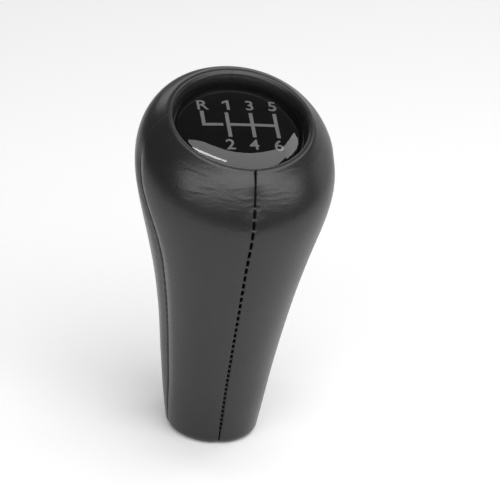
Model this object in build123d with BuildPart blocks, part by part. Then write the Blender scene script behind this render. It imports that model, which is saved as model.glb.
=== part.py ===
"""Gear shift knob: a sewn leather cover over a moulded core, a domed badge and a push-on lever socket.

Millimetres and degrees. The origin is the mouth of the lever socket, on the plane the knob stands on.
+Z runs up the socket's axis, +Y points to the front of the car and -Y to the driver.
"""
import os
from collections import namedtuple
from math import cos, pi, radians, sin

from build123d import *

# Leather outline: the outside of the cover, section by section up the knob.
# width is across the car, and stretch is how much deeper than wide the section is, fore and aft.
# shift is the section's centre and seam the side seam, both measured forward of the socket's axis.
# Below the base section the cover turns under in a round as high as that section lies.
Station = namedtuple("Station", "height width stretch shift seam")
base = Station(height=2.2, width=23.4, stretch=0.3, shift=0.0, seam=-1.7)
grip = Station(height=24.6, width=29.8, stretch=0.2, shift=-0.3, seam=-4.9)
flare = Station(height=44.3, width=36.4, stretch=0.6, shift=-1.1, seam=-7.9)
cheek = Station(height=60.1, width=44.7, stretch=1.4, shift=0.5, seam=-7.5)
head = Station(height=70.4, width=48.0, stretch=2.6, shift=2.0, seam=-1.9)
brow = Station(height=78.3, width=42.9, stretch=2.8, shift=2.0, seam=0.5)
lip = Station(height=82.1, width=35.3, stretch=1.4, shift=0.2, seam=1.1)
stations = [base, grip, flare, cheek, head, brow, lip]
section_count = 9  # sections drawn through the outline, closer together at its two ends

head_tilt = 21.0  # the badge faces back towards the driver by this angle
lip_round = 1.1  # rounding of the lip where it turns down to the badge
lip_roll = 1.0  # rounding of the lip where the body's side runs up to its crest
hem_round = 0.4  # rounding of the hem at the lower opening

# Leather
leather = 1.1  # thickness of the cover
hem = 0.7  # thickness of the skived hems that turn into the two openings
seam_gap = 0.3  # width of the crease between two panels
seam_round = 0.7  # rounding of a panel's edge as it dives into the crease

# Badge, in the recess inside the lip
recess_radius = 15.7
recess_depth = 6.5  # crest of the lip down to the badge's seat
lens_radius = 15.2
lens_edge = 1.0  # thickness of the lens at its rim
lens_crown = 1.5  # rise of the dome above its rim
lens_middle = 9.0  # radius of the dome's flatter middle, from which it falls away faster to its rim
lens_middle_drop = 0.25  # fall of the dome over its middle
lens_round = 0.3  # rounding between the rim and the dome
plate_thickness = 0.4
carrier_thickness = 2.0
carrier_clearance = 0.1
pocket_depth = 0.3  # pocket that centres the printed plate
pocket_clearance = 0.1
snap_count = 4
snap_circle = 10.5
snap_start = 45.0
snap_width = 5.0
snap_thickness = 1.5
snap_barb = 0.7  # overhang of a hook under the seat
snap_barb_height = 1.4
snap_barb_taper = 20.0
snap_clearance = 0.25

# Core, a clamshell parted at x = 0
wall = 2.4
core_rim = 1.8  # crest of the lip down to the core's rim
seat_thickness = 2.4  # floor under the badge
foot_height = 12.0  # solid foot of the core
web_thickness = 2.0
web_heights = [22.0, 36.0, 50.0]  # undersides of the webs that hold the socket
peg_radius = 1.3
peg_length = 3.0
peg_clearance = 0.1
peg_offset = 11.0  # fore and aft of the axis
boss_radius = 2.6
boss_length = 4.5

# Lever socket and the spring ring that grips the lever's groove
bore_radius = 6.0
bore_depth = 44.0
socket_wall = 1.5
socket_clearance = 0.1
tip_radius = 4.6
tip_depth = 8.0
socket_roof = 2.0
flange_width = 1.7
flange_height = 4.6  # underside of the flange that locks the socket in the core
flange_thickness = 1.6
ring_wire = 1.2  # diameter of the spring ring's wire
ring_bite = 0.5  # how far the ring stands into the tip bore
ring_height = 2.6  # ring's centre above the end of the lever bore
ring_arc = 290.0
ring_clearance = 0.05

# Base ring: pressed in from below, it holds the leather's hem
base_ring_wall = 1.0
base_ring_length = 4.0
base_ring_clearance = 0.05
base_ring_chamfer = 0.3

# Sizes that follow from the ones above
socket_radius = bore_radius + socket_wall
socket_top = bore_depth + tip_depth + socket_roof
ring_level = bore_depth + ring_height
ring_radius = tip_radius - ring_bite + ring_wire / 2
groove_radius = ring_radius + ring_wire / 2 + ring_clearance
groove_height = ring_wire + 2 * ring_clearance
base_ring_bore = socket_radius + socket_clearance
base_ring_radius = base_ring_bore + base_ring_wall
hem_opening = base_ring_radius + base_ring_clearance
carrier_radius = recess_radius - carrier_clearance
pocket_floor = carrier_thickness - pocket_depth
plate_top = pocket_floor + plate_thickness
lens_top = lens_edge + lens_crown
barb_drop = seat_thickness + snap_clearance
peg_places = [(y, web + web_thickness / 2) for web in web_heights[1:] for y in (-peg_offset, peg_offset)]


def outline_curve(size):
    """Smooth curve of one of the sections' sizes, plotted against height in the XZ plane."""
    with BuildLine(Plane.XZ) as curve:
        Spline(*[(getattr(station, size), station.height) for station in stations])
    return curve.edge()


outline = {size: outline_curve(size) for size in ("width", "stretch", "shift", "seam")}


def section_at(height):
    """Station at any height, read off the outline's curves."""
    level = Plane.XY.offset(height)
    sizes = {size: curve.intersect(level).vertices()[0].X for size, curve in outline.items()}
    return Station(height=height, **sizes)


spacing = [(1 - cos(pi * step / (section_count - 1))) / 2 for step in range(section_count)]
upright = [section_at(base.height + (lip.height - base.height) * share) for share in spacing[1:-1]]


def section_plane(station, sink=0.0):
    """Plane of a section, leaning back more the higher it lies, and sunk along its own normal."""
    lean = radians(head_tilt * (station.height / lip.height) ** 2)
    normal = Vector(0, -sin(lean), cos(lean))
    centre = Vector(0, station.shift, station.height) - normal * sink
    return Plane(origin=centre, x_dir=(1, 0, 0), z_dir=normal)


def lip_sections(inset):
    """Sections that roll the leather over to the crest of the lip; a form inside the leather ends square."""
    if inset:
        return [(section_plane(lip, inset), inset, lip)]
    rolled = []
    for turn in (45, 65, 90):
        sink = lip_roll * (1 - sin(radians(turn)))
        draw = lip_roll * (cos(radians(45)) - cos(radians(turn)))
        rolled.append((section_plane(lip, sink), draw, lip))
    return rolled


def sections(inset):
    """Runs of sections, the turned-under base, the body and the rolled lip, drawn in from the outside by inset.

    Each section is its plane, half width, half depth and station.
    """
    turned = []
    radius = base.height - inset
    for turn in (0, 45, 90):
        draw = base.height - radius * sin(radians(turn))
        level = base._replace(height=base.height - radius * cos(radians(turn)))
        turned.append((section_plane(level), draw, level))
    rising = [(section_plane(station), inset, station) for station in upright]
    rolled = lip_sections(inset)
    runs = [turned, [turned[-1], *rising, rolled[0]], rolled]
    return [
        [(plane, row.width / 2 - draw, (row.width + row.stretch) / 2 - draw, row) for plane, draw, row in run]
        for run in runs
        if len(run) > 1
    ]


def knob_form(inset):
    """The knob's outline as a plain solid, drawn in from the outside of the leather by inset."""
    with BuildPart() as form:
        for run in sections(inset):
            for plane, half_width, half_depth, station in run:
                with BuildSketch(plane):
                    Ellipse(half_width, half_depth)
            loft()
    return form.part


def profile_plane(plane):
    """Plane for a profile that is turned about the normal of the given plane, with the profile's y along it."""
    return Plane(plane.origin, x_dir=plane.x_dir, z_dir=-plane.y_dir)


def mouth_cutter(plane, radius, depth, flare):
    """Round opening that runs depth below a plane, with a mouth that flares out in a rounded lip."""
    with BuildPart() as cutter:
        with BuildSketch(profile_plane(plane)):
            with BuildLine():
                side = Line((radius, -depth), (radius, -flare))
                rounding = RadiusArc(side @ 1, (radius + flare, 0), flare)
                Polyline(rounding @ 1, (radius + flare, depth), (0, depth), (0, -depth), side @ 0)
            make_face()
        revolve(axis=Axis(plane.origin, plane.z_dir))
    return cutter.part


seat_plane = section_plane(lip, recess_depth)
foot_plane = Plane(origin=(0, 0, 0), x_dir=(1, 0, 0), z_dir=(0, 0, -1))
recess_cutter = mouth_cutter(section_plane(lip), recess_radius, recess_depth, lip_round)
hem_cutter = mouth_cutter(foot_plane, hem_opening, base_ring_length, hem_round)

# Outside of the core: what the leather is pulled over, with the badge recess and the lower opening
with BuildPart() as core_form:
    add(knob_form(leather))
    split(bisect_by=section_plane(lip, core_rim), keep=Keep.BOTTOM)
    with BuildSketch(seat_plane):
        Circle(recess_radius + hem)
    extrude(amount=recess_depth, mode=Mode.SUBTRACT)
    with BuildSketch(Plane.XY):
        Circle(hem_opening + hem)
    extrude(amount=base_ring_length, mode=Mode.SUBTRACT)


def leather_panel(side, end):
    """One of the four panels: side is -1 left or 1 right, end is -1 rear or 1 front."""
    reach = head.width
    with BuildPart() as panel:
        for run in sections(0.0):
            for plane, half_width, half_depth, station in run:
                corner = (side * seam_gap / 2, station.seam - station.shift + end * seam_gap / 2)
                with BuildSketch(plane) as piece:
                    Ellipse(half_width, half_depth)
                    with Locations((corner[0] + side * reach / 2, corner[1] + end * reach / 2)):
                        Rectangle(reach, reach, mode=Mode.INTERSECT)
                    rolled = piece.vertices().sort_by_distance(plane.from_local_coords(corner))[-2:]
                    fillet(rolled, seam_round)
            loft()
        add(recess_cutter, mode=Mode.SUBTRACT)
        add(hem_cutter, mode=Mode.SUBTRACT)
        add(core_form.part, mode=Mode.SUBTRACT)
    return panel.part


# Lever socket: a stepped blind sleeve with a locking flange and an inner groove for the spring ring
with BuildPart() as lever_socket:
    with BuildSketch(profile_plane(Plane.XY)):
        with BuildLine():
            Polyline(
                (bore_radius, 0),
                (socket_radius, 0),
                (socket_radius, flange_height),
                (socket_radius + flange_width, flange_height),
                (socket_radius + flange_width, flange_height + flange_thickness),
                (socket_radius, flange_height + flange_thickness),
                (socket_radius, socket_top),
                (0, socket_top),
                (0, socket_top - socket_roof),
                (tip_radius, socket_top - socket_roof),
                (tip_radius, bore_depth),
                (bore_radius, bore_depth),
                close=True,
            )
        make_face()
    revolve(axis=Axis.Z)
    with BuildSketch(Plane.XY.offset(ring_level - groove_height / 2)):
        Circle(groove_radius)
    extrude(amount=groove_height, mode=Mode.SUBTRACT)

# Spring ring: an open hoop of round wire
with BuildPart() as retaining_ring:
    with BuildSketch(Plane.XZ):
        with Locations((ring_radius, ring_level)):
            Circle(ring_wire / 2)
    revolve(axis=Axis.Z, revolution_arc=ring_arc)

# Base ring
with BuildPart() as base_ring:
    with BuildSketch(profile_plane(Plane.XY)):
        with BuildLine():
            Polyline(
                (base_ring_bore, 0),
                (base_ring_radius - base_ring_chamfer, 0),
                (base_ring_radius, base_ring_chamfer),
                (base_ring_radius, base_ring_length),
                (base_ring_bore, base_ring_length),
                close=True,
            )
        make_face()
    revolve(axis=Axis.Z)

# Badge carrier: a puck on the core's seat, with a pocket for the plate and hooks that snap under the seat
with BuildPart() as badge_carrier:
    with BuildSketch(seat_plane):
        Circle(carrier_radius)
    extrude(amount=carrier_thickness)
    with BuildSketch(seat_plane.offset(pocket_floor)):
        Circle(lens_radius + pocket_clearance)
    extrude(amount=pocket_depth, mode=Mode.SUBTRACT)
    with BuildSketch(seat_plane):
        with PolarLocations(snap_circle, snap_count, start_angle=snap_start):
            Rectangle(snap_thickness, snap_width)
    extrude(amount=-barb_drop - snap_barb_height)
    with BuildSketch(seat_plane.offset(-barb_drop)):
        with PolarLocations(snap_circle + snap_barb / 2, snap_count, start_angle=snap_start):
            Rectangle(snap_thickness + snap_barb, snap_width)
    extrude(amount=-snap_barb_height, taper=snap_barb_taper)

# Printed plate, in the carrier's pocket
with BuildPart() as badge_plate:
    with BuildSketch(seat_plane.offset(pocket_floor)):
        Circle(lens_radius)
    extrude(amount=plate_thickness)

# Lens: a flat foot on the plate, an upright rim and a shallow poured dome that falls away to its edge
with BuildPart() as badge_lens:
    with BuildSketch(profile_plane(seat_plane.offset(plate_top))) as profile:
        with BuildLine():
            foot = Line((0, 0), (lens_radius, 0))
            rim = Line(foot @ 1, (lens_radius, lens_edge))
            middle = TangentArc((0, lens_top), (lens_middle, lens_top - lens_middle_drop), tangent=(1, 0))
            TangentArc(middle @ 1, rim @ 1, tangent=middle % 1)
            Line(middle @ 0, foot @ 0)
        make_face()
        fillet(profile.vertices().sort_by_distance(rim @ 1)[0], lens_round)
    revolve(axis=Axis(seat_plane.origin, seat_plane.z_dir))

# Hollow of the core, in stories between the webs
with BuildPart() as cavity:
    add(knob_form(leather + wall))
    split(bisect_by=Plane.XY.offset(foot_height), keep=Keep.TOP)
    split(bisect_by=seat_plane.offset(-seat_thickness), keep=Keep.BOTTOM)
    for web in web_heights:
        with BuildSketch(Plane.XY.offset(web)):
            Circle(head.width)
        extrude(amount=web_thickness, mode=Mode.SUBTRACT)

# Core before parting: walls, webs, bosses, the socket's bed and the slots for the badge's hooks
with BuildPart() as core:
    add(core_form.part)
    add(cavity.part, mode=Mode.SUBTRACT)
    with BuildSketch(Plane.YZ):
        with Locations(*peg_places):
            Circle(boss_radius)
    extrude(amount=boss_length, both=True)
    with BuildSketch(Plane.XY):
        Circle(socket_radius + socket_clearance)
    extrude(amount=socket_top + socket_clearance, mode=Mode.SUBTRACT)
    with BuildSketch(Plane.XY.offset(flange_height - socket_clearance)):
        Circle(socket_radius + flange_width + socket_clearance)
    extrude(amount=flange_thickness + 2 * socket_clearance, mode=Mode.SUBTRACT)
    with BuildSketch(seat_plane):
        with PolarLocations(snap_circle + snap_barb / 2, snap_count, start_angle=snap_start):
            Rectangle(snap_thickness + snap_barb + 2 * snap_clearance, snap_width + 2 * snap_clearance)
    extrude(amount=-seat_thickness, mode=Mode.SUBTRACT)

with BuildPart() as core_left_half:
    add(core.part)
    split(bisect_by=Plane.YZ, keep=Keep.BOTTOM)
    with BuildSketch(Plane.YZ):
        with Locations(*peg_places):
            Circle(peg_radius)
    extrude(amount=peg_length)

with BuildPart() as core_right_half:
    add(core.part)
    split(bisect_by=Plane.YZ, keep=Keep.TOP)
    with BuildSketch(Plane.YZ):
        with Locations(*peg_places):
            Circle(peg_radius + peg_clearance)
    extrude(amount=peg_length + peg_clearance, mode=Mode.SUBTRACT)

pieces = {
    "leather_panel_rear_left": leather_panel(-1, -1),
    "leather_panel_rear_right": leather_panel(1, -1),
    "leather_panel_front_left": leather_panel(-1, 1),
    "leather_panel_front_right": leather_panel(1, 1),
    "core_left_half": core_left_half.part,
    "core_right_half": core_right_half.part,
    "lever_socket": lever_socket.part,
    "retaining_ring": retaining_ring.part,
    "base_ring": base_ring.part,
    "badge_carrier": badge_carrier.part,
    "badge_plate": badge_plate.part,
    "badge_lens": badge_lens.part,
}

os.makedirs("parts", exist_ok=True)
for name, piece in pieces.items():
    piece.label = name
    export_step(piece, f"parts/{name}.step")
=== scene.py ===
# %% [markdown]
# # A leather gear shift knob
#
# The knob is a moulded core in a sewn leather cover, with a domed badge let into its head.
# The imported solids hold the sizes, and this lesson dresses them: it cuts four leather panels, sews their
# seams, prints the gear pattern, lays a resin dome over it and lights it all like a small studio shot.

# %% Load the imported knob
from collections import namedtuple
from math import cos, pi, radians, sin

import bpy
import numpy as np
from mathutils import Matrix, Vector, noise


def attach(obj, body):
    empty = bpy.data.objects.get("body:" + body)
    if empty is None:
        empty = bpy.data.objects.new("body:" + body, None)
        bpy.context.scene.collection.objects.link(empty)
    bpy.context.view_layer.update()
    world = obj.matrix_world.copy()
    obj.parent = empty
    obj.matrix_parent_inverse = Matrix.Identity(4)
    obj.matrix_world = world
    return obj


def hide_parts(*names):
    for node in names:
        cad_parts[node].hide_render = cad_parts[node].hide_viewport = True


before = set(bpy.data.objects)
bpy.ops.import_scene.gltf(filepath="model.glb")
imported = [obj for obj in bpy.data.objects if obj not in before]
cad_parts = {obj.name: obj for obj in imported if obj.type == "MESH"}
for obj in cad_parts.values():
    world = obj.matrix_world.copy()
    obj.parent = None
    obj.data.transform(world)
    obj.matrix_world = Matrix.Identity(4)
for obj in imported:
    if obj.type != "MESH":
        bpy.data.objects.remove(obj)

MM = 0.001
scene = bpy.context.scene
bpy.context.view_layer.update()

# %% [markdown]
# ## Camera
#
# The photograph looks down on the knob from behind and a little to the left, through a long lens.
# The camera could be moved by eye until the picture fits. Here its angles come from a fit of the knob's
# outline, so the camera is built from three directions: to the viewer, to the right and up.

# %% Camera at the photograph's angle
VIEW_AZIMUTH = -12.44
VIEW_ELEVATION = 25.34
VIEW_ROLL = 5.84
VIEW_DISTANCE = 453.1 * MM
VIEW_PIVOT = Vector((0, 0, 44.3 * MM))
PICTURE_SIDE = 500
PIXELS_PER_METRE = 4128
PIVOT_PIXEL = (226.9, 263.3)


def new_object(name, data):
    """An object in the scene that shows the given data."""
    item = bpy.data.objects.new(name, data)
    scene.collection.objects.link(item)
    return item


def looking_away_from(back, side, place):
    """A placement whose z axis points back from what it looks at and whose x axis runs to the side."""
    side = (side - back * side.dot(back)).normalized()
    turn = Matrix((side, back.cross(side), back)).transposed().to_4x4()
    return Matrix.Translation(place) @ turn


def viewing_directions(azimuth, elevation, roll):
    """Right, up and towards the viewer, for angles in degrees."""
    a, e, r = radians(azimuth), radians(elevation), radians(roll)
    right = Vector((cos(a), sin(a), 0))
    up = Vector((-sin(a) * sin(e), cos(a) * sin(e), cos(e)))
    viewer = Vector((sin(a) * cos(e), -cos(a) * cos(e), sin(e)))
    return right * cos(r) + up * sin(r), up * cos(r) - right * sin(r), viewer


def place_camera():
    """A camera whose picture has the knob where the photograph has it, with no lens shift."""
    right, up, viewer = viewing_directions(VIEW_AZIMUTH, VIEW_ELEVATION, VIEW_ROLL)
    middle = PICTURE_SIDE / 2
    aim = VIEW_PIVOT + right * (middle - PIVOT_PIXEL[0]) / PIXELS_PER_METRE
    aim += up * (PIVOT_PIXEL[1] - middle) / PIXELS_PER_METRE
    eye = VIEW_PIVOT + viewer * VIEW_DISTANCE
    data = bpy.data.cameras.new("studio_camera")
    data.lens = data.sensor_width * PIXELS_PER_METRE * VIEW_DISTANCE / PICTURE_SIDE
    camera = new_object("studio_camera", data)
    camera.matrix_world = looking_away_from((eye - aim).normalized(), right, eye)
    scene.camera = camera
    return camera


camera = place_camera()
print("camera lens:", round(camera.data.lens, 1), "mm")

# %% [markdown]
# ## The leather's outline
#
# The cover follows the core, so its outside is a stack of nearly round sections: seven stations give
# the width, the depth, the centre and the side seam at seven heights. A smooth cubic runs through them.
# It could be sculpted from a cylinder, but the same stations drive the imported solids, so the dressed cover
# lies where the solid cover lies.

# %% Stations up the knob, in millimetres
Station = namedtuple("Station", "height width stretch shift seam")
STATIONS = [
    Station(2.2, 23.4, 0.3, 0.0, -1.7),
    Station(24.6, 29.8, 0.2, -0.3, -4.9),
    Station(44.3, 36.4, 0.6, -1.1, -7.9),
    Station(60.1, 44.7, 1.4, 0.5, -7.5),
    Station(70.4, 48.0, 2.6, 2.0, -1.9),
    Station(78.3, 42.9, 2.8, 2.0, 0.5),
    Station(82.1, 35.3, 1.4, 0.2, 1.1),
]
BASE, LIP = STATIONS[0], STATIONS[-1]
HEAD_TILT = radians(21.0)


def cubic_through(knots, values):
    """A smooth cubic curve through the values, as a function of the knots' axis."""
    knots, values = np.array(knots), np.array(values)
    gap = np.diff(knots)
    slope = np.diff(values) / gap
    count = len(knots)
    rows = np.zeros((count, count))
    right = np.zeros(count)
    for i in range(1, count - 1):
        rows[i, i - 1:i + 2] = gap[i - 1], 2 * (gap[i - 1] + gap[i]), gap[i]
        right[i] = 6 * (slope[i] - slope[i - 1])
    rows[0, :3] = gap[1], -gap[0] - gap[1], gap[0]
    rows[-1, -3:] = gap[-1], -gap[-2] - gap[-1], gap[-2]
    bend = np.linalg.solve(rows, right)

    def curve(x):
        i = np.clip(np.searchsorted(knots, x) - 1, 0, count - 2)
        a, b = knots[i + 1] - x, x - knots[i]
        cubic = (bend[i] * a ** 3 + bend[i + 1] * b ** 3) / (6 * gap[i])
        return cubic + (values[i] / gap[i] - bend[i] * gap[i] / 6) * a + (
            values[i + 1] / gap[i] - bend[i + 1] * gap[i] / 6) * b

    return curve


heights = [station.height for station in STATIONS]
outline = {
    size: cubic_through(heights, [getattr(station, size) for station in STATIONS])
    for size in ("width", "stretch", "shift", "seam")
}
print("width half way up:", round(float(outline["width"](LIP.height / 2)), 1), "mm")

# %% [markdown]
# ## Rows of the cover
#
# A leather panel starts inside the lower opening, turns under the base, climbs the knob, rolls over the
# lip and dives down the badge's recess. Every step of that way is an ellipse in a tilted plane, so the
# whole path is a list of rows, and one row is six numbers. Blurring the list a little rounds the lip,
# as leather pulled over an edge does.

# %% One row of the cover
HEM_OPENING = 8.65
HEM_HEIGHT = 4.0
HEM_ROUND = 0.4
RECESS_RADIUS = 15.7
RECESS_DEPTH = 6.4
LIP_ROUND = 1.1
LIP_ROLL = 1.0
ROLL_START = 79.0


def flat_row(half_x, half_y, level):
    """A row in a level plane near the base: half sizes, centre, lean and side seam."""
    return (half_x, half_y, BASE.shift, level, 0.0, BASE.seam)


def lip_row(half_x, half_y, sink):
    """A row in the plane of the lip, sunk into the recess."""
    y = LIP.shift + sink * sin(HEAD_TILT)
    z = LIP.height - sink * cos(HEAD_TILT)
    return (half_x, half_y, y, z, HEAD_TILT, LIP.seam - LIP.shift + y)


def body_row(height):
    """A row of the body, read off the outline and let down a little where the lip starts to roll."""
    half = float(outline["width"](height)) / 2
    deep = half + float(outline["stretch"](height)) / 2
    lean = HEAD_TILT * (height / LIP.height) ** 2
    near = max(0, (height - ROLL_START) / (LIP.height - ROLL_START))
    sink = LIP_ROLL * (1 - sin(pi / 4)) * near ** 2
    shift = float(outline["shift"](height)) + sink * sin(lean)
    seam = float(outline["seam"](height)) + sink * sin(lean)
    return (half, deep, shift, height - sink * cos(lean), lean, seam)


print("widest row:", round(2 * max(body_row(height)[0] for height in heights), 1), "mm across")

# %% Rows from the lower hem to the foot of the recess
SHOULDER_DROP = 6.0
SHOULDER_LENGTH = 9.0
ROW_STEP = 0.3
# Lengths that set how many rows the short bends get.
HEM_BEND = 4 * ROW_STEP
ROLL_BEND = 4 * ROW_STEP
LIP_FLAT = 3 * ROW_STEP
MOUTH_BEND = 6 * ROW_STEP
LIP_BLUR_PASSES = 40
LIP_BLUR_REACH = 3.6


def evenly(start, end, length):
    """Numbers from start towards end, about a row step apart over the given length, without the end."""
    return np.linspace(start, end, max(3, int(length / ROW_STEP) + 1))[:-1]


def base_rows():
    """Rows from the hem in the lower opening, round the base and up to the first station."""
    base_x, base_y = BASE.width / 2, (BASE.width + BASE.stretch) / 2
    rows = [flat_row(HEM_OPENING, HEM_OPENING, z) for z in evenly(HEM_HEIGHT, HEM_ROUND, HEM_HEIGHT)]
    for turn in evenly(0, pi / 2, HEM_BEND):
        r = HEM_OPENING + HEM_ROUND * (1 - cos(turn))
        rows.append(flat_row(r, r, HEM_ROUND * (1 - sin(turn))))
    rows.append(flat_row(HEM_OPENING + HEM_ROUND, HEM_OPENING + HEM_ROUND, 0.0))
    for turn in evenly(0, pi / 2, BASE.height * pi / 2):
        draw = BASE.height * (1 - sin(turn))
        rows.append(flat_row(base_x - draw, base_y - draw, BASE.height * (1 - cos(turn))))
    return rows


def lip_rows():
    """Rows over the rolled lip and down to the foot of the recess."""
    lip_x, lip_y = LIP.width / 2, (LIP.width + LIP.stretch) / 2
    rolled = LIP_ROLL * cos(pi / 4)
    mouth = RECESS_RADIUS + LIP_ROUND
    rows = []
    for turn in evenly(pi / 4, pi / 2, ROLL_BEND):
        draw = rolled - LIP_ROLL * cos(turn)
        rows.append(lip_row(lip_x - draw, lip_y - draw, LIP_ROLL * (1 - sin(turn))))
    for share in evenly(0, 1, LIP_FLAT):
        x, y = [size - rolled + (mouth - size + rolled) * share for size in (lip_x, lip_y)]
        rows.append(lip_row(x, y, 0.0))
    for turn in evenly(0, pi / 2, MOUTH_BEND):
        r = RECESS_RADIUS + LIP_ROUND * (1 - sin(turn))
        rows.append(lip_row(r, r, LIP_ROUND * (1 - cos(turn))))
    for sink in evenly(LIP_ROUND, RECESS_DEPTH, RECESS_DEPTH):
        rows.append(lip_row(RECESS_RADIUS, RECESS_RADIUS, sink))
    return rows


shoulder = LIP.height - SHOULDER_DROP
climb = [*evenly(BASE.height, shoulder, shoulder), *evenly(shoulder, LIP.height, SHOULDER_LENGTH)]
hem_and_base = base_rows()
rows = np.array(hem_and_base + [body_row(height) for height in climb] + lip_rows())
crest = int(np.argmax(rows[:, 3]))
near_lip = np.abs(np.arange(len(rows)) - crest) * ROW_STEP < LIP_BLUR_REACH
for _ in range(LIP_BLUR_PASSES):
    blurred = (np.roll(rows, 1, 0) + 2 * rows + np.roll(rows, -1, 0)) / 4
    rows[near_lip] = blurred[near_lip]
half_x, half_y, centre_y, centre_z, lean, seam_y = rows.T
print("rows:", len(rows), "crest row:", crest)

# %% [markdown]
# ## Places on the cover
#
# Every place on the cover is a row and a turn round the knob, as on a globe. A surface could be pulled into
# shape in Edit Mode, but with two numbers for each place the panels, the seams and the stitches all meet.
# The way along the rear seam is measured too, because a stitch is set by length of leather, not by height.

# %% Points of the cover
REAR, FRONT = -pi / 2, pi / 2
SIDE_SEAM_LIMIT = 0.9


def on_cover(turn):
    """Points of the plain cover for an array of turns, one line of turns for each row."""
    x = half_x[:, None] * np.cos(turn)
    along = half_y[:, None] * np.sin(turn)
    y = centre_y[:, None] + along * np.cos(lean)[:, None]
    z = centre_z[:, None] + along * np.sin(lean)[:, None]
    return np.stack([x, y, z], -1)


def side_seam(side):
    """Turn of a side seam in every row: 1 is the right seam and -1 the left one."""
    rise = np.arcsin(np.clip((seam_y - centre_y) / half_y, -SIDE_SEAM_LIMIT, SIDE_SEAM_LIMIT))
    return rise if side > 0 else -pi - rise


def outward(points):
    """Unit normals of a grid of points whose rows climb and whose columns turn to the left."""
    climb = np.gradient(points, axis=0)
    across = np.gradient(points, axis=1)
    normal = np.cross(across, climb)
    return normal / np.linalg.norm(normal, axis=-1, keepdims=True)


everywhere = np.ones(len(rows))
rear_edge = on_cover(np.full((len(rows), 1), REAR))[:, 0]
way = np.concatenate([[0], np.cumsum(np.linalg.norm(np.diff(rear_edge, axis=0), axis=-1))])
print("leather along the rear seam, from the hem to the recess:", round(float(way[-1]), 1), "mm")

# %% [markdown]
# ## Seams and stitch places
#
# The panels are sewn edge to edge, with short stitches near the base, where the cover is tight, and longer
# ones up the neck. Near the head the rear seam is closed from inside and no thread shows; the other seams are
# pulled flat over the rim. Stitches could be laid on finished leather, but their places are worked out before
# it here, because every stitch draws both edges together.

# %% A seam and its stitches
Seam = namedtuple("Seam", "turn opening valley sewn pull stitches depth")
FIRST_STITCH_HEIGHT = 4.0
SHORT_STITCH = 1.3
LONG_STITCH = 2.75
STITCH_GROWTH = 1.5
PULL_LENGTH = 0.6
LOW_PULL = 0.2
body_rows = slice(len(hem_and_base), crest)


def way_to(height):
    """Distance along the rear seam to the row at a height."""
    return np.interp(height, centre_z[body_rows], way[body_rows])


def smooth_fall(low, high):
    """1 in the rows below a height, falling smoothly to 0 at a greater height and on over the lip."""
    share = np.clip((centre_z - low) / (high - low), 0, 1)
    share[crest:] = 1
    return 1 - share * share * (3 - 2 * share)


def stitch_places(last_height):
    """Distances along a seam of its stitches, closer together near the base."""
    first, last = way_to(FIRST_STITCH_HEIGHT), way_to(last_height)
    places = [first]
    while places[-1] < last:
        share = (places[-1] - first) / (last - first)
        places.append(places[-1] + SHORT_STITCH + (LONG_STITCH - SHORT_STITCH) * share ** STITCH_GROWTH)
    return np.array(places)


def new_seam(turn, opening, valley, last_height, depth):
    """A seam: its turn, opening and valley in every row, its last stitch and how deep its thread lies."""
    stitches = stitch_places(last_height)
    distance = np.min(np.abs(way[:, None] - stitches[None]), 1)
    slack = LOW_PULL + (1 - LOW_PULL) * np.clip((way - stitches[0]) / (stitches[-1] - stitches[0]), 0, 1)
    pull = slack * np.exp(-(distance / PULL_LENGTH) ** 4)
    sewn = np.clip(np.minimum(way - stitches[0], stitches[-1] - way), 0, 1)
    return Seam(turn, opening, valley, sewn, pull, stitches, depth)


print("way to the first stitch:", round(float(way_to(FIRST_STITCH_HEIGHT)), 1), "mm")

# %% The four seams
# Valleys are shares of the full valley; heights, and the depths of the thread, are in millimetres.
SHALLOW_VALLEY = 0.25
GATHER_VALLEY, GATHER_HEIGHT, GATHER_REACH = 0.8, 76.5, 4.5
REAR_WANDER, WANDER_HEIGHTS = 0.9, (50, 84)
REAR_LAST_STITCH, REAR_DEPTH = 75.2, 0.2
FRONT_CLOSES, FRONT_LAST_STITCH, FRONT_DEPTH = (70, 77), 72, 0.3
SIDE_VALLEY, SIDE_VALLEY_HEIGHTS = 0.85, (3, 16)
SIDE_CLOSES, SIDE_LAST_STITCH, SIDE_DEPTH = (71, 77), 69, 0.2

gather = np.exp(-((way - way_to(GATHER_HEIGHT)) / GATHER_REACH) ** 2)
rear_wander = REAR_WANDER * (1 - smooth_fall(*WANDER_HEIGHTS)) / half_x
rear_valley = SHALLOW_VALLEY + GATHER_VALLEY * gather
front_valley = SHALLOW_VALLEY * everywhere
side_valley = SHALLOW_VALLEY + SIDE_VALLEY * (1 - smooth_fall(*SIDE_VALLEY_HEIGHTS))
side_opening = smooth_fall(*SIDE_CLOSES)
seam_rear = new_seam(REAR + rear_wander, everywhere, rear_valley, REAR_LAST_STITCH, REAR_DEPTH)
seam_front = new_seam(
    FRONT * everywhere, smooth_fall(*FRONT_CLOSES), front_valley, FRONT_LAST_STITCH, FRONT_DEPTH)
seam_right = new_seam(side_seam(1), side_opening, side_valley, SIDE_LAST_STITCH, SIDE_DEPTH)
seam_left = new_seam(side_seam(-1), side_opening, side_valley, SIDE_LAST_STITCH, SIDE_DEPTH)
print("stitches on the rear seam:", len(seam_rear.stitches))

# %% [markdown]
# ## Thickness of the leather
#
# A saddler pares leather thin where it is turned in, so that the fold makes no lump. Here the cover thins
# where it turns under the base and over the lip, and the hem above the turn is left thick. Solidify gives a
# sheet one thickness, or needs a weight for every point; one number for each row says the same more simply,
# and a few passes slope the steps.

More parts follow.
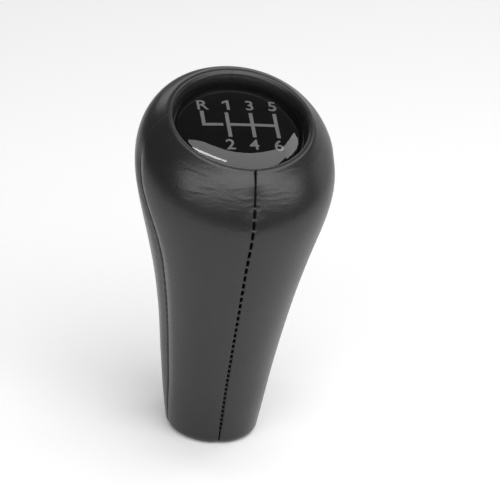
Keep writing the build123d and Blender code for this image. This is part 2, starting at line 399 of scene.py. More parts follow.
# %% Thickness in every row
LEATHER = 1.1
TURNED_LEATHER = 0.7
TURN_HEIGHT = 0.9
ROWS_BEFORE_CREST = 4
SLOPE_PASSES = 3
thickness = np.full(len(rows), LEATHER)
thickness[centre_z < TURN_HEIGHT] = TURNED_LEATHER
thickness[crest - ROWS_BEFORE_CREST:] = TURNED_LEATHER
for _ in range(SLOPE_PASSES):
    thickness[1:-1] = np.minimum(thickness, (np.roll(thickness, 1) + np.roll(thickness, -1)) / 2)[1:-1]
print("leather from", thickness.min(), "to", thickness.max(), "mm thick")

# %% [markdown]
# ## Four panels
#
# Each panel is a quarter of the cover between two seams. A sheet could be given thickness by Solidify,
# but at a rolled seam edge the inner wall would cross itself. So the panel is woven by hand as a closed
# skin: an outer grid, an inner grid that follows the plain outline, and walls that join them. Columns crowd
# together at the seams, because there the leather rolls into the crease and each stitch pinches it.

# %% Columns and edges of a panel
EDGE_STEPS = np.array([0, 0.03, 0.08, 0.15, 0.24, 0.35, 0.48, 0.65, 0.9, 1.2, 1.6, 2.1, 2.7])
PANEL_COLUMNS = 72
CREASE_GAP = 0.14
STITCH_GAP = 0.55
TIGHT_GAP = 0.02
SEAM_ROLL = 0.45
TIGHT_ROLL = 0.04
VALLEY_DEPTH = 0.45
VALLEY_WIDTH = 2.0
DIMPLE_DEPTH = 0.08
DIMPLE_WIDTH = 0.9


def half_gap(seam):
    """Half the opening between two panels in every row, which spreads between the stitches."""
    spread = CREASE_GAP + (STITCH_GAP - CREASE_GAP) * seam.sewn * (1 - seam.pull)
    return (TIGHT_GAP + spread * seam.opening) / 2


def panel_columns(start, end):
    """Turns of a panel's columns in every row, and their distances from its two edges."""
    girth = (half_x + half_y) / 2
    width = girth * (end.turn - start.turn) - half_gap(start) - half_gap(end)
    inner = np.linspace(0, 1, PANEL_COLUMNS)[1:-1]
    left = np.repeat(EDGE_STEPS[None], len(rows), 0)
    right = width[:, None] - left[:, ::-1]
    middle = EDGE_STEPS[-1] + inner[None] * (width[:, None] - 2 * EDGE_STEPS[-1])
    place = np.concatenate([left, middle, right], 1)
    turn = start.turn[:, None] + (half_gap(start)[:, None] + place) / girth[:, None]
    return turn, place, width[:, None] - place


def seam_sink(place, seam):
    """How far the leather dives at a distance from its edge: the rolled edge, the valley and the dimples."""
    radius = (TIGHT_ROLL + (SEAM_ROLL - TIGHT_ROLL) * seam.opening)[:, None]
    inside = np.clip(radius - place, 0, radius)
    roll = radius - np.sqrt(np.maximum(radius ** 2 - inside ** 2, 0))
    valley = VALLEY_DEPTH * (seam.valley * seam.opening)[:, None] * np.exp(-(place / VALLEY_WIDTH) ** 2)
    dimple = DIMPLE_DEPTH * (seam.pull * seam.opening)[:, None] * np.exp(-(place / DIMPLE_WIDTH) ** 2)
    return roll + valley + dimple


print("widest opening of the rear seam:", round(2 * float(half_gap(seam_rear).max()), 2), "mm")

# %% Softness and gathered places
SOFTNESS = 0.12
SOFT_SCALE = 0.11
Fold = namedtuple("Fold", "centre reach strength")
FOLDS = [Fold((-6, -18, 71.5), 7, 1.0), Fold((-17, -13, 74), 7, 0.8), Fold((8, -17, 73), 6, 0.5)]


def softness(points):
    """A slow unevenness of the leather, in millimetres below its outline, at every point of a grid."""
    flat = points.reshape(-1, 3) * SOFT_SCALE
    rise = np.array([noise.noise(Vector(p)) for p in flat]).reshape(points.shape[:2])
    return (0.5 - 0.5 * np.clip(rise, -1, 1)) * SOFTNESS


def gathered(points):
    """How strongly the leather is gathered into fine folds at every point, from 0 to 1."""
    total = np.zeros(points.shape[:2])
    for fold in FOLDS:
        distance_squared = np.sum((points - np.array(fold.centre)) ** 2, -1)
        total += fold.strength * np.exp(-distance_squared / fold.reach ** 2)
    return np.clip(total, 0, 1)


print("gathered places:", len(FOLDS))

# %% Leather panels
DEEPEST_SINK = 0.88


def skin_faces(count, across):
    """Faces of a closed skin: an outer grid, an inner grid behind it and walls round the rim."""
    number = np.arange(count * across).reshape(count, across)
    low, high = number[:-1, :-1], number[1:, :-1]
    outside = np.stack([low, low + 1, high + 1, high], -1).reshape(-1, 4)
    inside = outside[:, ::-1] + count * across
    rim = np.concatenate([number[0, :-1], number[:-1, -1], number[-1, :0:-1], number[:0:-1, 0]])
    after = np.roll(rim, -1)
    walls = np.stack([rim + count * across, after + count * across, after, rim], -1)
    return np.concatenate([outside, inside, walls])


def leather_panel(name, start, end):
    """A closed leather panel between two seams, which knows where it is gathered into folds."""
    turn, from_start, from_end = panel_columns(start, end)
    plain = on_cover(turn)
    normal = outward(plain)
    sink = seam_sink(from_start, start) + seam_sink(from_end, end)
    sink += softness(plain) * (thickness / LEATHER)[:, None] ** 2
    sink = np.minimum(sink, DEEPEST_SINK * thickness[:, None])
    outer = plain - normal * sink[..., None]
    inner = plain - normal * thickness[:, None, None]
    points = np.concatenate([outer.reshape(-1, 3), inner.reshape(-1, 3)]) * MM
    mesh = bpy.data.meshes.new(name)
    mesh.from_pydata(points.tolist(), [], skin_faces(*turn.shape).tolist())
    mesh.shade_smooth()
    layer = mesh.attributes.new("gathered", "FLOAT", "POINT")
    layer.data.foreach_set("value", np.tile(gathered(plain).ravel(), 2))
    return new_object(name, mesh)


round_left = seam_left._replace(turn=seam_left.turn + 2 * pi)
panels = {
    "leather_panel_rear_right": leather_panel("leather_rear_right", seam_rear, seam_right),
    "leather_panel_rear_left": leather_panel("leather_rear_left", seam_left, seam_rear),
    "leather_panel_front_right": leather_panel("leather_front_right", seam_right, seam_front),
    "leather_panel_front_left": leather_panel("leather_front_left", seam_front, round_left),
}
for node_name, piece in panels.items():
    print(node_name, "points:", len(piece.data.vertices))

# %% [markdown]
# ## Grain and tone
#
# Leather and moulded plastic both have a fine grain, and no real surface is one flat colour. Both effects
# could be painted as images, but these would need unwrapping and would repeat. Two node groups make them
# instead, each built once, and every finish sets its own size and tones.

# %% Pebble grain
GRAIN_SHAKE = 0.4 * MM
PEBBLE_SMOOTHNESS = 0.4
PEBBLE_EDGE = 0.9
FINE_SHARE = 0.35


def fill_inputs(tree, node, inputs):
    """Fill a node's inputs with values, or link them to sockets, by name or by number."""
    for key, value in inputs.items():
        if isinstance(value, bpy.types.NodeSocket):
            tree.links.new(value, node.inputs[key])
        else:
            node.inputs[key].default_value = value


def add_node(tree, kind, inputs=None, **settings):
    """Add a node to a tree, set its properties and fill its inputs."""
    node = tree.nodes.new(kind)
    for key, value in settings.items():
        setattr(node, key, value)
    fill_inputs(tree, node, inputs or {})
    return node


def new_group(name, inputs, outputs):
    """An empty shader group with named sockets, and its input and output nodes."""
    tree = bpy.data.node_groups.new(name, "ShaderNodeTree")
    for way_in, sockets in (("INPUT", inputs), ("OUTPUT", outputs)):
        for socket, kind in sockets.items():
            tree.interface.new_socket(socket, in_out=way_in, socket_type="NodeSocket" + kind)
    return tree, tree.nodes.new("NodeGroupInput").outputs, tree.nodes.new("NodeGroupOutput").inputs


def grain_group():
    """Small pebbles with fine creases between them: a height from 0 to 1."""
    tree, given, made = new_group("pebble_grain", {"Vector": "Vector", "Size": "Float"}, {"Height": "Float"})
    scale = add_node(tree, "ShaderNodeMath", {0: 1.0, 1: given["Size"]}, operation="DIVIDE").outputs[0]
    fine = add_node(tree, "ShaderNodeTexNoise", {"Vector": given["Vector"], "Scale": scale, "Detail": 2.0})
    shake = add_node(
        tree, "ShaderNodeVectorMath", {0: fine.outputs["Color"], "Scale": GRAIN_SHAKE}, operation="SCALE")
    place = add_node(tree, "ShaderNodeVectorMath", {0: given["Vector"], 1: shake.outputs[0]}, operation="ADD")
    cells = add_node(
        tree, "ShaderNodeTexVoronoi",
        {"Vector": place.outputs[0], "Scale": scale, "Smoothness": PEBBLE_SMOOTHNESS}, feature="SMOOTH_F1")
    pebble = add_node(
        tree, "ShaderNodeMapRange", {0: cells.outputs["Distance"], 1: 0.0, 2: PEBBLE_EDGE, 3: 1.0, 4: 0.0})
    both = add_node(
        tree, "ShaderNodeMix", {0: FINE_SHARE, 2: pebble.outputs[0], 3: fine.outputs[0]}, data_type="FLOAT")
    tree.links.new(both.outputs[0], made["Height"])
    return tree


pebble_grain = grain_group()
print("grain nodes:", len(pebble_grain.nodes))

# %% Tone drift
DRIFT_EDGES = (0.3, 0.7)


def tone_group():
    """A slow drift between two tones."""
    tree, given, made = new_group(
        "tone_drift", {"Vector": "Vector", "Scale": "Float", "Dark": "Color", "Light": "Color"},
        {"Color": "Color"})
    cloud = add_node(
        tree, "ShaderNodeTexNoise", {"Vector": given["Vector"], "Scale": given["Scale"], "Detail": 3.0})
    mask = add_node(
        tree, "ShaderNodeMapRange", {0: cloud.outputs[0], 1: DRIFT_EDGES[0], 2: DRIFT_EDGES[1]})
    tone = add_node(
        tree, "ShaderNodeMix", {0: mask.outputs[0], 6: given["Dark"], 7: given["Light"]}, data_type="RGBA")
    tree.links.new(tone.outputs[2], made["Color"])
    return tree


tone_drift = tone_group()
print("tone nodes:", len(tone_drift.nodes))

# %% [markdown]
# ## Finishes
#
# The cover is charcoal leather with a soft gloss, sewn with a matt thread a little lighter than itself. The
# mouldings inside are black, and the core's halves are darker and duller still, as painted shade in the seam
# openings; the spring ring is steel and the badge is black with a light grey print.
# A finish could be one colour on a Principled shader. Here the two groups drive its colour, its gloss and its
# bump, so the creases of the grain are duller than the pebbles, as on the real thing.

# %% A finish from the two groups
CREASE_DULLNESS = 0.08
PEBBLE_SHEEN = 0.05


def grey(value):
    """An opaque neutral colour."""
    return (value, value, value, 1.0)


def blank_material(name):
    """A new material, with its node tree and its Principled shader."""
    material = bpy.data.materials.new(name)
    material.use_nodes = True
    return material, material.node_tree, material.node_tree.nodes["Principled BSDF"]


def new_finish(
        name, dark, light, roughness, drift_scale, grain_size, grain_height, specular=0.5, metallic=0.0):
    """A material with a drifting grey and a fine grain; sizes in millimetres."""
    material, tree, principled = blank_material(name)
    where = add_node(tree, "ShaderNodeTexCoord").outputs["Object"]
    tone = add_node(
        tree, "ShaderNodeGroup",
        {"Vector": where, "Scale": 1 / (drift_scale * MM), "Dark": grey(dark), "Light": grey(light)},
        node_tree=tone_drift)
    grain = add_node(
        tree, "ShaderNodeGroup", {"Vector": where, "Size": grain_size * MM}, node_tree=pebble_grain)
    height = grain.outputs["Height"]
    bump = add_node(tree, "ShaderNodeBump", {"Height": height, "Distance": grain_height * MM})
    gloss = add_node(
        tree, "ShaderNodeMapRange", {0: height, 3: roughness + CREASE_DULLNESS, 4: roughness - PEBBLE_SHEEN})
    fill_inputs(tree, principled, {
        "Base Color": tone.outputs["Color"], "Roughness": gloss.outputs[0], "Normal": bump.outputs[0],
        "Specular IOR Level": specular, "Metallic": metallic})
    return material


leather = new_finish(
    "charcoal_leather", 0.013, 0.017, roughness=0.29, drift_scale=9, grain_size=0.55, grain_height=0.02,
    specular=0.53)
thread = new_finish(
    "charcoal_thread", 0.024, 0.036, roughness=0.55, drift_scale=1.5, grain_size=0.3, grain_height=0.01)
moulding = new_finish(
    "black_moulding", 0.012, 0.02, roughness=0.5, drift_scale=8, grain_size=0.4, grain_height=0.01)
# The core is black plastic, made darker and duller than the other mouldings as painted shade: it is what shows
# in the seam openings.
black_core_and_seam_shade = new_finish(
    "matt_core_and_seam_shade", 0.003, 0.005, roughness=0.8, drift_scale=8, grain_size=0.4, grain_height=0.01,
    specular=0.05)
spring = new_finish(
    "spring_steel", 0.42, 0.55, roughness=0.3, drift_scale=4, grain_size=0.3, grain_height=0.004,
    metallic=1.0)
badge_black = new_finish(
    "badge_black", 0.01, 0.014, roughness=0.35, drift_scale=6, grain_size=0.4, grain_height=0.0005,
    specular=0.0)
badge_print = new_finish(
    "badge_print_grey", 0.5, 0.56, roughness=0.5, drift_scale=2, grain_size=0.3, grain_height=0.001,
    specular=0.0)
finishes = (leather, thread, moulding, black_core_and_seam_shade, spring, badge_black, badge_print)
print("finishes made:", [finish.name for finish in finishes])

# %% [markdown]
# ## Fine folds
#
# Where the cover is pulled over the head, the leather gathers into fine folds beside the rear seam. They
# could be modelled, but folds this fine need a far denser mesh, so a bump draws them: a ridged noise that is
# stretched round the head, and the panels' own attribute that says where the leather is gathered.

# %% Fine folds in the leather
FOLD_STRETCH = (0.16, 0.16, 0.75)
FOLD_HEIGHT = 0.16


def add_folds(material):
    """Fine folds that run round the head, where the leather is gathered."""
    tree = material.node_tree
    principled = tree.nodes["Principled BSDF"]
    where = add_node(tree, "ShaderNodeTexCoord").outputs["Object"]
    stretched = add_node(
        tree, "ShaderNodeMapping", {"Vector": where, "Scale": [v / MM for v in FOLD_STRETCH]})
    ridges = add_node(
        tree, "ShaderNodeTexNoise", {"Vector": stretched.outputs[0], "Scale": 1.0, "Detail": 2.0},
        noise_type="RIDGED_MULTIFRACTAL")
    where_gathered = add_node(tree, "ShaderNodeAttribute", attribute_name="gathered").outputs["Fac"]
    height = add_node(
        tree, "ShaderNodeMath", {0: ridges.outputs[0], 1: where_gathered}, operation="MULTIPLY").outputs[0]
    below = principled.inputs["Normal"].links[0].from_socket
    fold = add_node(tree, "ShaderNodeBump", {"Height": height, "Distance": FOLD_HEIGHT * MM, "Normal": below})
    tree.links.new(fold.outputs[0], principled.inputs["Normal"])


add_folds(leather)
print("leather nodes:", len(leather.node_tree.nodes))

# %% [markdown]
# ## Seam stitches
#
# Each stitch is a short arch of thread from one edge to the other. More than a hundred arches on curved paths
# are work for Geometry Nodes: points carry the seam's direction and the way out of the leather, the tree
# bends one arch and sets a copy on every point, and the result is turned into one plain mesh.

# %% Points that carry the stitches
LOW_SINK = 0.75
TURN_STEP = 0.01


def stitch_points():
    """A mesh of points on the four seams, each with the seam's direction and the outward direction."""
    places, along, out = [], [], []
    for seam in (seam_rear, seam_front, seam_right, seam_left):
        grid = on_cover(seam.turn[:, None] + np.array([[-TURN_STEP, 0, TURN_STEP]]))
        normals = outward(grid)[:, 1]
        climb = np.gradient(grid[:, 1], axis=0)
        spot, up, face = [
            np.stack([np.interp(seam.stitches, way, values[:, axis]) for axis in range(3)], -1)
            for values in (grid[:, 1], climb, normals)]
        low = 1 - (seam.stitches - seam.stitches[0]) / (way_to(LIP.height) - seam.stitches[0])
        valley = VALLEY_DEPTH * np.interp(seam.stitches, way, seam.valley * seam.opening)
        sink = seam.depth + LOW_SINK * low + valley
        places.append(spot - face * sink[:, None])
        along.append(up / np.linalg.norm(up, axis=-1, keepdims=True))
        out.append(face)
    mesh = bpy.data.meshes.new("stitch_points")
    mesh.from_pydata((np.concatenate(places) * MM).tolist(), [], [])
    for name, values in (("along", along), ("out", out)):
        layer = mesh.attributes.new(name, "FLOAT_VECTOR", "POINT")
        layer.data.foreach_set("vector", np.concatenate(values).ravel())
    return mesh


stitch_mesh = stitch_points()
print("stitch points:", len(stitch_mesh.vertices))

# %% [markdown]
# ## One stitch and its copies
#
# A real stitch is thread under tension: it comes up at one edge, crosses the crease and goes down at the
# other, and no two lie quite alike. The tree bends one arch from three points, gives it a round section and
# turns every copy by a small chance angle. The seed is fixed, so the seam comes out the same each time.

# %% Geometry Nodes tree for the stitches
ARCH_DIP, ARCH_TOP = -0.4, 1.6
ARCH_POINTS = 7
THREAD_SIDES = 6
SLANT_SEED = 4


def times(tree, value, factor):
    """A number in a node tree, multiplied by a plain factor."""
    return add_node(tree, "ShaderNodeMath", {0: value, 1: factor}, operation="MULTIPLY").outputs[0]


def thread_arch(tree, given):
    """One arch of thread across the seam, at the origin."""
    dip, top = times(tree, given["Rise"], ARCH_DIP), times(tree, given["Rise"], ARCH_TOP)
    left, right = [
        add_node(tree, "ShaderNodeCombineXYZ", {"X": times(tree, given["Span"], half), "Z": dip}).outputs[0]
        for half in (-0.5, 0.5)]
    middle = add_node(tree, "ShaderNodeCombineXYZ", {"Z": top}).outputs[0]
    arch = add_node(
        tree, "GeometryNodeCurveQuadraticBezier",
        {"Resolution": ARCH_POINTS, "Start": left, "Middle": middle, "End": right})
    ring = add_node(
        tree, "GeometryNodeCurvePrimitiveCircle",
        {"Resolution": THREAD_SIDES, "Radius": given["Thread Radius"]})
    return add_node(
        tree, "GeometryNodeCurveToMesh",
        {"Curve": arch.outputs[0], "Profile Curve": ring.outputs[0], "Fill Caps": True}).outputs[0]


def slanted_turn(tree, given):
    """The turn that stands an arch on the leather across its seam, slanted a little by chance."""
    out, along = [
        add_node(tree, "GeometryNodeInputNamedAttribute", {"Name": name}, data_type="FLOAT_VECTOR").outputs[0]
        for name in ("out", "along")]
    turn = add_node(
        tree, "FunctionNodeAxesToRotation", {"Primary Axis": out, "Secondary Axis": along},
        primary_axis="Z", secondary_axis="Y")
    chance = add_node(
        tree, "FunctionNodeRandomValue",
        {2: times(tree, given["Slant"], -1.0), 3: given["Slant"], "Seed": SLANT_SEED}, data_type="FLOAT")
    spin = add_node(tree, "ShaderNodeCombineXYZ", {"Z": chance.outputs[1]})
    slant = add_node(tree, "FunctionNodeEulerToRotation", {0: spin.outputs[0]})
    return add_node(
        tree, "FunctionNodeRotateRotation", {"Rotation": turn.outputs[0], "Rotate By": slant.outputs[0]},
        rotation_space="LOCAL").outputs[0]


def stitch_tree(material):
    """A tree that sets an arch of thread on every point it is given."""
    tree = bpy.data.node_groups.new("seam_stitching", "GeometryNodeTree")
    face = tree.interface
    face.new_socket("Geometry", in_out="INPUT", socket_type="NodeSocketGeometry")
    for name in ("Span", "Rise", "Thread Radius", "Slant"):
        face.new_socket(name, in_out="INPUT", socket_type="NodeSocketFloat")
    face.new_socket("Geometry", in_out="OUTPUT", socket_type="NodeSocketGeometry")
    given = add_node(tree, "NodeGroupInput").outputs
    arch, turn = thread_arch(tree, given), slanted_turn(tree, given)
    copies = add_node(
        tree, "GeometryNodeInstanceOnPoints",
        {"Points": given["Geometry"], "Instance": arch, "Rotation": turn})
    solid = add_node(tree, "GeometryNodeRealizeInstances", {"Geometry": copies.outputs[0]})
    smooth = add_node(tree, "GeometryNodeSetShadeSmooth", {"Geometry": solid.outputs[0]})
    dyed = add_node(tree, "GeometryNodeSetMaterial", {"Geometry": smooth.outputs[0], "Material": material})
    add_node(tree, "NodeGroupOutput", {"Geometry": dyed.outputs[0]})
    return tree


seam_stitching = stitch_tree(thread)
print("stitch tree nodes:", len(seam_stitching.nodes))

# %% [markdown]
# ## Sewing
#
# The tree runs as a modifier on an object that holds only the points. The modifier could stay live, but an
# exported part has to be a plain mesh, so the result is frozen and the carrier is taken away.

# %% Sew
STITCH_SPAN = 1.5
STITCH_RISE = 0.3
THREAD_RADIUS = 0.31
SLANT = 0.28


def frozen(carrier):
    """The finished shape of an object as a plain mesh; the object itself is taken away."""
    shape = bpy.data.meshes.new_from_object(carrier.evaluated_get(bpy.context.evaluated_depsgraph_get()))
    bpy.data.objects.remove(carrier)
    return shape


def sew(mesh, tree, sizes):
    """Run the tree on the points and keep the result as a plain mesh."""
    carrier = new_object("stitch_carrier", mesh)
    modifier = carrier.modifiers.new("stitching", "NODES")
    modifier.node_group = tree
    for item in tree.interface.items_tree:
        if item.in_out == "INPUT" and item.name in sizes:
            modifier[item.identifier] = sizes[item.name]
    return new_object("seam_stitches", frozen(carrier))


stitch_piece = sew(stitch_mesh, seam_stitching, {
    "Span": STITCH_SPAN * MM, "Rise": STITCH_RISE * MM, "Thread Radius": THREAD_RADIUS * MM, "Slant": SLANT})
print("stitch faces:", len(stitch_piece.data.polygons))

# %% [markdown]
# ## Badge lens
#
# The badge is covered by a poured resin dome. It is a turned shape, so it is made as a lathe: a profile of
# radius and height, spun round the axis of the tilted recess. Blender's Spin could turn it as well, but a
# loop closes both poles and keeps every face pointing out. The foot reaches a hair into the plate, so the
# glassy body meets the print with no air between them, as a poured dome does.

# %% Profile of the dome, in the badge's own tilted frame
SEAT_DEPTH = 6.5
PLATE_TOP = 2.1
LENS_RADIUS = 15.2
LENS_EDGE = 1.0
LENS_CROWN = 1.5
LENS_MIDDLE = 9.0
LENS_MIDDLE_DROP = 0.25
LENS_ROUND = 0.3
LENS_ROUND_TURNS = np.linspace(0.2, 1, 5) * radians(70)
LENS_FOOT = 0.02
FOOT_SHARES = (0, 0.5, 0.9, 1)
DOME_RINGS = 32
badge_frame = Matrix.Translation(
    (0, LIP.shift + SEAT_DEPTH * sin(HEAD_TILT), LIP.height - SEAT_DEPTH * cos(HEAD_TILT)))
badge_frame = badge_frame @ Matrix.Rotation(HEAD_TILT, 4, "X")


def dome_fall(radius):
    """How far the dome lies below its crown: nearly flat in the middle, falling away faster to its rim."""
    flat = LENS_MIDDLE_DROP / LENS_MIDDLE ** 2
    over = max(0, radius - LENS_MIDDLE)
    reach = LENS_RADIUS - LENS_MIDDLE
    slope = 2 * LENS_MIDDLE_DROP / LENS_MIDDLE
    bend = (LENS_CROWN - LENS_MIDDLE_DROP - slope * reach) / reach ** 2
    return flat * min(radius, LENS_MIDDLE) ** 2 + slope * over + bend * over ** 2


def lens_profile():
    """Radius and height above the seat, from the foot's centre out, up the edge and over the dome."""
    shoulder = PLATE_TOP + LENS_EDGE
    foot = PLATE_TOP - LENS_FOOT
    points = [(LENS_RADIUS * share, foot) for share in FOOT_SHARES]
    points.append((LENS_RADIUS, shoulder - LENS_ROUND))
    for turn in LENS_ROUND_TURNS:
        points.append((LENS_RADIUS - LENS_ROUND * (1 - cos(turn)), shoulder - LENS_ROUND * (1 - sin(turn))))
    for r in np.linspace(LENS_RADIUS - LENS_ROUND, 0, DOME_RINGS)[1:]:
        points.append((r, shoulder + LENS_CROWN - dome_fall(r)))
    return points


dome_profile = lens_profile()
print("points in the dome's profile:", len(dome_profile))

# %% Lathe
LENS_TURNS = 128


def turned(name, profile, turns, frame_matrix):
    """A closed lathe shape from a profile that starts and ends on the axis."""
    points = [frame_matrix @ Vector((0, 0, profile[0][1]))]
    for r, h in profile[1:-1]:
        for turn in np.linspace(0, 2 * pi, turns, endpoint=False):
            points.append(frame_matrix @ Vector((r * cos(turn), r * sin(turn), h)))
    points.append(frame_matrix @ Vector((0, 0, profile[-1][1])))
    rings = [[1 + i * turns + k % turns for k in range(turns + 1)] for i in range(len(profile) - 2)]
    faces = [(0, b, a) for a, b in zip(rings[0], rings[0][1:])]
    for low, high in zip(rings, rings[1:]):
        faces += [(low[k], low[k + 1], high[k + 1], high[k]) for k in range(turns)]
    faces += [(a, b, len(points) - 1) for a, b in zip(rings[-1], rings[-1][1:])]
    mesh = bpy.data.meshes.new(name)
    mesh.from_pydata([p * MM for p in points], [], faces)
    mesh.shade_smooth()
    return new_object(name, mesh)


lens_piece = turned("badge_dome", dome_profile, LENS_TURNS, badge_frame)
print("dome points:", len(lens_piece.data.vertices))

# %% [markdown]
# ## Gear pattern
#
# The pattern shows where the lever goes: reverse on the left, then three columns on one cross bar. It could
# be an image on the plate, but flat shapes stay sharp from near. The bars are plain strips and the marks are
# text turned into a mesh, all laid a hair above the plate.

# %% Bars of the pattern in the plate's plane, in millimetres
COLUMN_PITCH = 5.75
COLUMN_COUNT = 3
FIRST_COLUMN = -2.52
LINE = 0.88
CROSS_BAR = 0.95
COLUMN_ENDS = (-3.2, 5.05)
REVERSE_COLUMN = -8.3
REVERSE_TOP = 5.58
REVERSE_GAP = 0.8


def strip(left, low, right, high):
    """Corner points of a strip of print."""
    return [(left, low), (right, low), (right, high), (left, high)]


def pattern_strips():
    """The strips of the gear pattern."""
    columns = [FIRST_COLUMN + COLUMN_PITCH * i for i in range(COLUMN_COUNT)]
    half = LINE / 2
    bar_low, bar_high = CROSS_BAR - half, CROSS_BAR + half
    strips = [strip(columns[0] - half, bar_low, columns[-1] + half, bar_high)]
    for x in columns:
        strips.append(strip(x - half, COLUMN_ENDS[0], x + half, bar_low))
        strips.append(strip(x - half, bar_high, x + half, COLUMN_ENDS[1]))
    strips.append(strip(REVERSE_COLUMN - half, bar_low, columns[0] - half - REVERSE_GAP, bar_high))
    strips.append(strip(REVERSE_COLUMN - half, bar_high, REVERSE_COLUMN + half, REVERSE_TOP))
    return strips


bars = pattern_strips()
print("strips of the pattern:", len(bars))

# %% Marks, and the whole print on the plate
PRINT_LIFT = 0.03
MARK_HEIGHT = 3.4
MARK_BOLDNESS = 0.06
MARK_SMOOTHNESS = 6
CAP_SHARE = 0.73
MARKS = {"R": (-7.79, 7.7), "1": (-2.27, 7.7), "3": (3.36, 7.7), "5": (8.84, 7.7),
         "2": (-2.83, -5.65), "4": (2.75, -5.65), "6": (8.56, -5.65)}
# The figure 1 is drawn from listed points, with a slanted flag and no foot.
ONE = [(0.8, 1.7), (0.1, 1.7), (-0.9, 1.1), (-0.9, 0.42), (0.1, 0.95), (0.1, -1.7), (0.8, -1.7)]


def mark_shape(text):
    """The points and faces of one mark, centred, in millimetres."""
    if text == "1":
        return np.array(ONE), [list(range(len(ONE)))]
    data = bpy.data.curves.new("mark", "FONT")
    data.body = text
    data.size = MARK_HEIGHT / CAP_SHARE
    data.offset = MARK_BOLDNESS
    data.resolution_u = MARK_SMOOTHNESS
    shape = frozen(new_object("mark", data))
    points = np.array([v.co[:2] for v in shape.vertices])
    points = points - (points.min(0) + points.max(0)) / 2
    return points, [list(face.vertices) for face in shape.polygons]


def pattern_piece():
    """One mesh of all the print, laid on the plate."""
    points, faces = [], []
    shapes = [(corners, [[0, 1, 2, 3]]) for corners in bars]
    for text, centre in MARKS.items():
        spots, polygons = mark_shape(text)
        shapes.append((spots + np.array(centre), polygons))
    for spots, polygons in shapes:
        faces += [[len(points) + i for i in polygon] for polygon in polygons]
        points += [badge_frame @ Vector((x, y, PLATE_TOP + PRINT_LIFT)) * MM for x, y in spots]
    mesh = bpy.data.meshes.new("gear_pattern")
    mesh.from_pydata(points, [], faces)
    return new_object("gear_pattern", mesh)


print_piece = pattern_piece()
print("print faces:", len(print_piece.data.polygons))

# %% [markdown]
# ## Dome finish
#
# The dome is cast resin, which bends and mirrors the light as glass does. It could be quite clear, but then
# few of the render's samples follow the mirrored lamps and their image comes out speckled, so the resin is
# smoked and the print under it is light. For shadow rays it is swapped for plain transparency, because bent
# light would need many more samples to reach the print.

# %% Smoked resin
RESIN_IOR = 1.55
RESIN_TINT = 0.12
RESIN_GLOSS = (0.02, 0.05)
HAZE_SCALE = 400.0
SHADOW_TINT = 0.92


def resin_finish():
    """Smoked resin that lets the lamps through to the print."""
    material, tree, principled = blank_material("clear_resin")
    where = add_node(tree, "ShaderNodeTexCoord").outputs["Object"]
    haze = add_node(tree, "ShaderNodeTexNoise", {"Vector": where, "Scale": HAZE_SCALE, "Detail": 2.0})
    gloss = add_node(
        tree, "ShaderNodeMapRange", {0: haze.outputs[0], 3: RESIN_GLOSS[0], 4: RESIN_GLOSS[1]})
    fill_inputs(tree, principled, {
        "Base Color": grey(RESIN_TINT), "Roughness": gloss.outputs[0], "IOR": RESIN_IOR,
        "Transmission Weight": 1.0})
    shadow = add_node(tree, "ShaderNodeLightPath").outputs["Is Shadow Ray"]
    through = add_node(tree, "ShaderNodeBsdfTransparent", {"Color": grey(SHADOW_TINT)})
    mixed = add_node(
        tree, "ShaderNodeMixShader", {0: shadow, 1: principled.outputs[0], 2: through.outputs[0]})
    tree.links.new(mixed.outputs[0], tree.nodes["Material Output"].inputs["Surface"])
    return material


resin = resin_finish()
print("dome finish:", resin.name)

# %% [markdown]
# ## Dress the frame
#
# Every new piece gets its finish and is tied to the knob's one body, and the panels and the dome hide the
# imported solids they stand for. The other solids could be modelled again too, but they need no more shape
# than
# they have, so they keep their own meshes and only take a finish.

# %% Finishes and bodies
def wear(piece, material):
    """Give a piece its one material."""
    piece.data.materials.clear()
    piece.data.materials.append(material)


def finish_with(piece, material, slot_name, *nodes):
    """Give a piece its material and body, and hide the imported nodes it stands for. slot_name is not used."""
    wear(piece, material)
    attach(piece, "root")
    if nodes:
        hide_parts(*nodes)


for node_name, piece in panels.items():
    finish_with(piece, leather, "leather", node_name)
finish_with(stitch_piece, thread, "leather")
finish_with(lens_piece, resin, "lens_clear", "badge_lens")
finish_with(print_piece, badge_print, "badge_print")

SOLID_FINISHES = {
    "core_left_half": black_core_and_seam_shade, "core_right_half": black_core_and_seam_shade, "lever_socket": moulding,
    "base_ring": moulding, "badge_carrier": moulding, "retaining_ring": spring, "badge_plate": badge_black,
}
for node_name, material in SOLID_FINISHES.items():
    wear(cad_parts[node_name], material)
print("dressed solids:", len(SOLID_FINISHES), "replaced:", len(panels) + 1)

# %% [markdown]
# ## Studio floor
#
# The knob stands on a wide white floor. More light would turn the floor white and wash out the leather too,
# so the floor gets a small glow instead, which only camera, glossy and transmission rays see. The knob
# mirrors that glow, but the light that falls on it stays as it is, and so does the soft shadow.

# %% Floor
FLOOR_REACH = 3.0
FLOOR_GREY = 0.9
FLOOR_ROUGHNESS = 0.9
FLOOR_SPECULAR = 0.1
FLOOR_LIFT = 0.12


def floor_finish():
    """White card that glows a little to camera, glossy and transmission rays."""
    material, tree, principled = blank_material("white_floor")
    path = add_node(tree, "ShaderNodeLightPath").outputs
    seen = add_node(
        tree, "ShaderNodeMath", {0: path["Is Camera Ray"], 1: path["Is Glossy Ray"]}, operation="ADD")
    seen = add_node(
        tree, "ShaderNodeMath", {0: seen.outputs[0], 1: path["Is Transmission Ray"]}, operation="ADD")
    fill_inputs(tree, principled, {
        "Base Color": grey(FLOOR_GREY), "Roughness": FLOOR_ROUGHNESS, "Specular IOR Level": FLOOR_SPECULAR,
        "Emission Color": grey(FLOOR_LIFT), "Emission Strength": seen.outputs[0]})
    return material


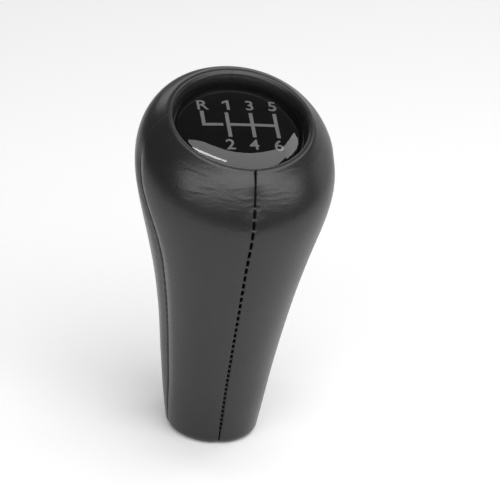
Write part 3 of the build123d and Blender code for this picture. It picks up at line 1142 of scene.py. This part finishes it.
def studio_floor():
    """A wide white floor under the knob."""
    near, far = -FLOOR_REACH, FLOOR_REACH
    mesh = bpy.data.meshes.new("floor")
    mesh.from_pydata([(near, near, 0), (far, near, 0), (far, far, 0), (near, far, 0)], [], [(0, 1, 2, 3)])
    mesh.materials.append(floor_finish())
    floor = new_object("floor", mesh)
    return floor


floor = studio_floor()
print("floor side:", 2 * FLOOR_REACH, "m")

# %% [markdown]
# ## Studio light
#
# Black leather is shaped by what it mirrors, so every lamp is a soft box in a chosen place. The dome mirrors
# the two boxes overhead as a crescent along its near edge and the narrow strip as a streak on it. The long
# box in front lays the broad highlight on the head, the one on the right shapes its side, and the one behind
# lights the far rim. One big lamp would be simpler, but it would leave the head without a form.

# %% Lamps and world
KNOB_MIDDLE = (0, 0, 0.06)
WORLD_GREY = 0.08


def softbox(name, centre, width, height, radiance, across=None, target=KNOB_MIDDLE):
    """A soft rectangular lamp that looks at a target; across is the direction of its width."""
    data = bpy.data.lights.new(name, "AREA")
    data.shape = "RECTANGLE"
    data.size, data.size_y = width, height
    data.energy = radiance * pi * width * height
    back = (Vector(centre) - Vector(target)).normalized()
    side = Vector(across) if across else Vector((0, 0, 1)).cross(back)
    lamp = new_object(name, data)
    lamp.matrix_world = looking_away_from(back, side, centre)
    lamp.visible_camera = False
    return lamp


softbox(
    "top", (0.105, -0.13, 0.68), width=0.51, height=0.576, radiance=2.5,
    across=(1, 0, 0), target=(0.105, -0.13, 0))
softbox(
    "corner", (0.433, 0.189, 0.68), width=0.27, height=0.2, radiance=2.8,
    across=(0.57, 0.82, 0), target=(0.433, 0.189, 0))
softbox("lamp", (-0.06, 0.03, 0.67), width=0.2, height=0.025, radiance=10.0, across=(0.87, -0.48, 0))
softbox("front", (0.12, -0.52, 0.56), width=2.3, height=0.32, radiance=3.1, target=(0.12, 0, 0.06))
softbox("right", (0.89, 0.56, 0.28), width=1.35, height=0.5, radiance=0.75)
softbox("back", (0.12, 0.71, 0.42), width=1.1, height=0.25, radiance=1.7, target=(0.12, 0, 0.06))
world = bpy.data.worlds.new("studio")
scene.world = world
world.use_nodes = True
world.node_tree.nodes["Background"].inputs["Color"].default_value = grey(WORLD_GREY)
scene.view_settings.view_transform = "Standard"
print("lights:", len(bpy.data.lights))
